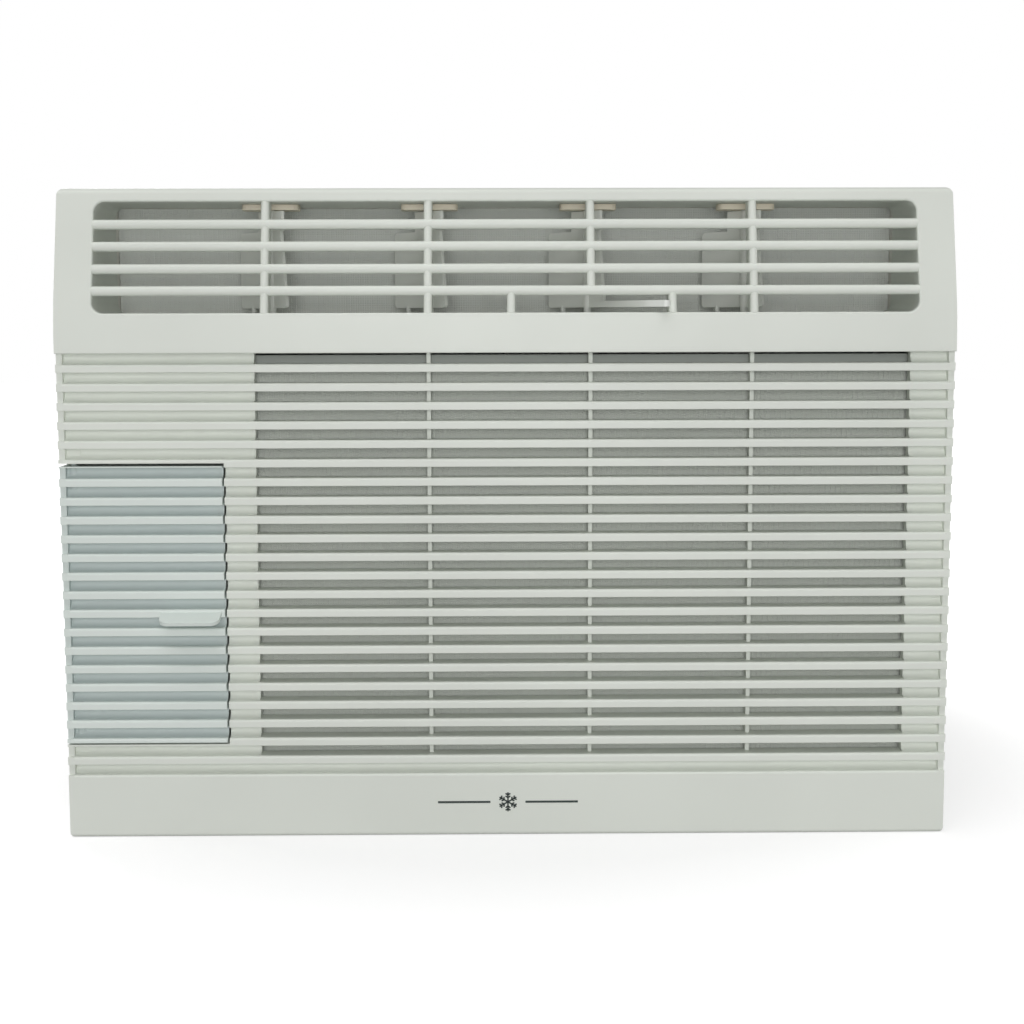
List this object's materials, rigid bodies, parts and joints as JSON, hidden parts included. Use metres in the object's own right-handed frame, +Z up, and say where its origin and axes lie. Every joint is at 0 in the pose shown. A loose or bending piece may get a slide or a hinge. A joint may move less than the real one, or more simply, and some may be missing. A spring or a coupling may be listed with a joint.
{
  "type": "window air conditioner",
  "caption": "Compact window air conditioner with a slatted intake front, a hinged control door, swinging outlet vanes, a slide-out filter and a full cooling circuit on a steel chassis",
  "frame": {"origin": "middle of the footprint, at the height of the sill the unit stands on", "axes": "+Z up, the room side with the slatted front faces -Y, +X to the right seen from the room"},
  "size_m": [0.45, 0.4003, 0.33],
  "materials": {
    "panel_plastic": "satin moulded ABS, faint green-white",
    "door_plastic": "satin moulded ABS, faint blue-white",
    "vane_plastic": "satin moulded plastic",
    "beige_plastic": "natural beige nylon",
    "knob_plastic": "pale grey moulded plastic",
    "black_plastic": "black moulded plastic",
    "galvanised_steel": "galvanised sheet steel",
    "aluminium": "drawn aluminium can",
    "filter_plastic": "grey moulded plastic",
    "screen_mesh": "fine woven guard screen",
    "filter_mesh": "woven nylon mesh",
    "fin_aluminium": "thin aluminium fins",
    "copper": "drawn copper tube",
    "duct_plastic": "expanded polystyrene and white plastic",
    "steel": "zinc plated steel",
    "motor_paint": "dark grey enamel",
    "compressor_paint": "black enamel",
    "rubber": "black rubber",
    "cabinet_paint": "off-white baked enamel"
  },
  "bodies": {
    "chassis": {"front_panel": "panel_plastic", "vane_pivot_plates": "beige_plastic", "control_plate": "panel_plastic", "rotary_switch": "black_plastic", "thermostat": "black_plastic", "control_box": "galvanised_steel", "run_capacitor": "aluminium", "capacitor_clip": "galvanised_steel", "evaporator_fins": "fin_aluminium", "evaporator_tubes": "copper", "condenser_fins": "fin_aluminium", "condenser_tubes": "copper", "drip_tray": "duct_plastic", "blower_housing": "duct_plastic", "discharge_duct": "duct_plastic", "discharge_screen": "screen_mesh", "bulkhead": "galvanised_steel", "fan_motor": "motor_paint", "motor_bracket": "galvanised_steel", "motor_screws": "steel", "fan_shroud": "galvanised_steel", "compressor": "compressor_paint", "compressor_grommets": "rubber", "compressor_studs": "steel", "terminal_cover": "black_plastic", "accumulator": "compressor_paint", "filter_drier": "copper", "suction_pipe": "copper", "return_pipe": "copper", "discharge_pipe": "copper", "liquid_pipe": "copper", "capillary_tube": "copper", "thermostat_bulb": "copper", "wiring_harness": "rubber", "base_pan": "galvanised_steel", "cabinet_roof": "cabinet_paint", "cabinet_left_side": "cabinet_paint", "cabinet_right_side": "cabinet_paint", "rear_grille": "cabinet_paint", "cabinet_screws": "steel", "panel_screws": "steel", "cord_gland": "rubber", "drain_plug": "rubber"},
    "door": {"control_door": "door_plastic"},
    "vane_1_body": {"vane_1": "vane_plastic"},
    "vane_2_body": {"vane_2": "vane_plastic"},
    "vane_3_body": {"vane_3": "vane_plastic"},
    "vane_4_body": {"vane_4": "vane_plastic"},
    "link_body": {"vane_link": "vane_plastic"},
    "mode_body": {"mode_knob": "knob_plastic"},
    "thermostat_body": {"thermostat_knob": "knob_plastic"},
    "filter_body": {"air_filter_frame": "filter_plastic", "air_filter_mesh": "filter_mesh"},
    "rotor_body": {"fan_shaft": "steel", "blower_wheel": "black_plastic", "axial_fan": "black_plastic"}
  },
  "joints": [
    {"name": "vane_swing", "type": "hinge", "parent": "chassis", "child": "vane_3_body", "pos_m": [0.0423, -0.1501, 0.29], "axis": [0, 0, 1], "range_deg": [-82, 0]},
    {"name": "vane_1_swing", "type": "hinge", "parent": "chassis", "child": "vane_1_body", "pos_m": [-0.1209, -0.1501, 0.29], "axis": [0, 0, 1], "range_deg": [-82.5, 0.5]},
    {"name": "vane_2_swing", "type": "hinge", "parent": "chassis", "child": "vane_2_body", "pos_m": [-0.0393, -0.1501, 0.29], "axis": [0, 0, 1], "range_deg": [-82.5, 0.5]},
    {"name": "vane_4_swing", "type": "hinge", "parent": "chassis", "child": "vane_4_body", "pos_m": [0.1239, -0.1501, 0.29], "axis": [0, 0, 1], "range_deg": [-82.5, 0.5]},
    {"name": "link_swing", "type": "hinge", "parent": "vane_3_body", "child": "link_body", "pos_m": [0.03035, -0.13664, 0.263], "axis": [0, 0, 1], "range_deg": [-0.5, 82.5]},
    {"name": "door_hinge", "type": "hinge", "parent": "chassis", "child": "door", "pos_m": [-0.219, -0.181, 0.12], "axis": [0, 0, -1], "range_deg": [0, 105]},
    {"name": "mode_turn", "type": "hinge", "parent": "chassis", "child": "mode_body", "pos_m": [-0.183, -0.159, 0.155], "axis": [0, -1, 0], "range_deg": [-120, 120]},
    {"name": "thermostat_turn", "type": "hinge", "parent": "chassis", "child": "thermostat_body", "pos_m": [-0.183, -0.159, 0.088], "axis": [0, -1, 0], "range_deg": [-150, 150]},
    {"name": "filter_slide", "type": "slide", "parent": "chassis", "child": "filter_body", "axis": [1, 0, 0], "range_m": [0, 0.37]},
    {"name": "fan_spin", "type": "hinge", "parent": "chassis", "child": "rotor_body", "pos_m": [0.045, 0.011, 0.14], "axis": [0, 1, 0], "continuous": true}
  ],
  "couplings": [
    {"joint": "vane_1_swing", "follows": "vane_swing", "ratio": 1},
    {"joint": "vane_2_swing", "follows": "vane_swing", "ratio": 1},
    {"joint": "vane_4_swing", "follows": "vane_swing", "ratio": 1},
    {"joint": "link_swing", "follows": "vane_swing", "ratio": -1}
  ]
}
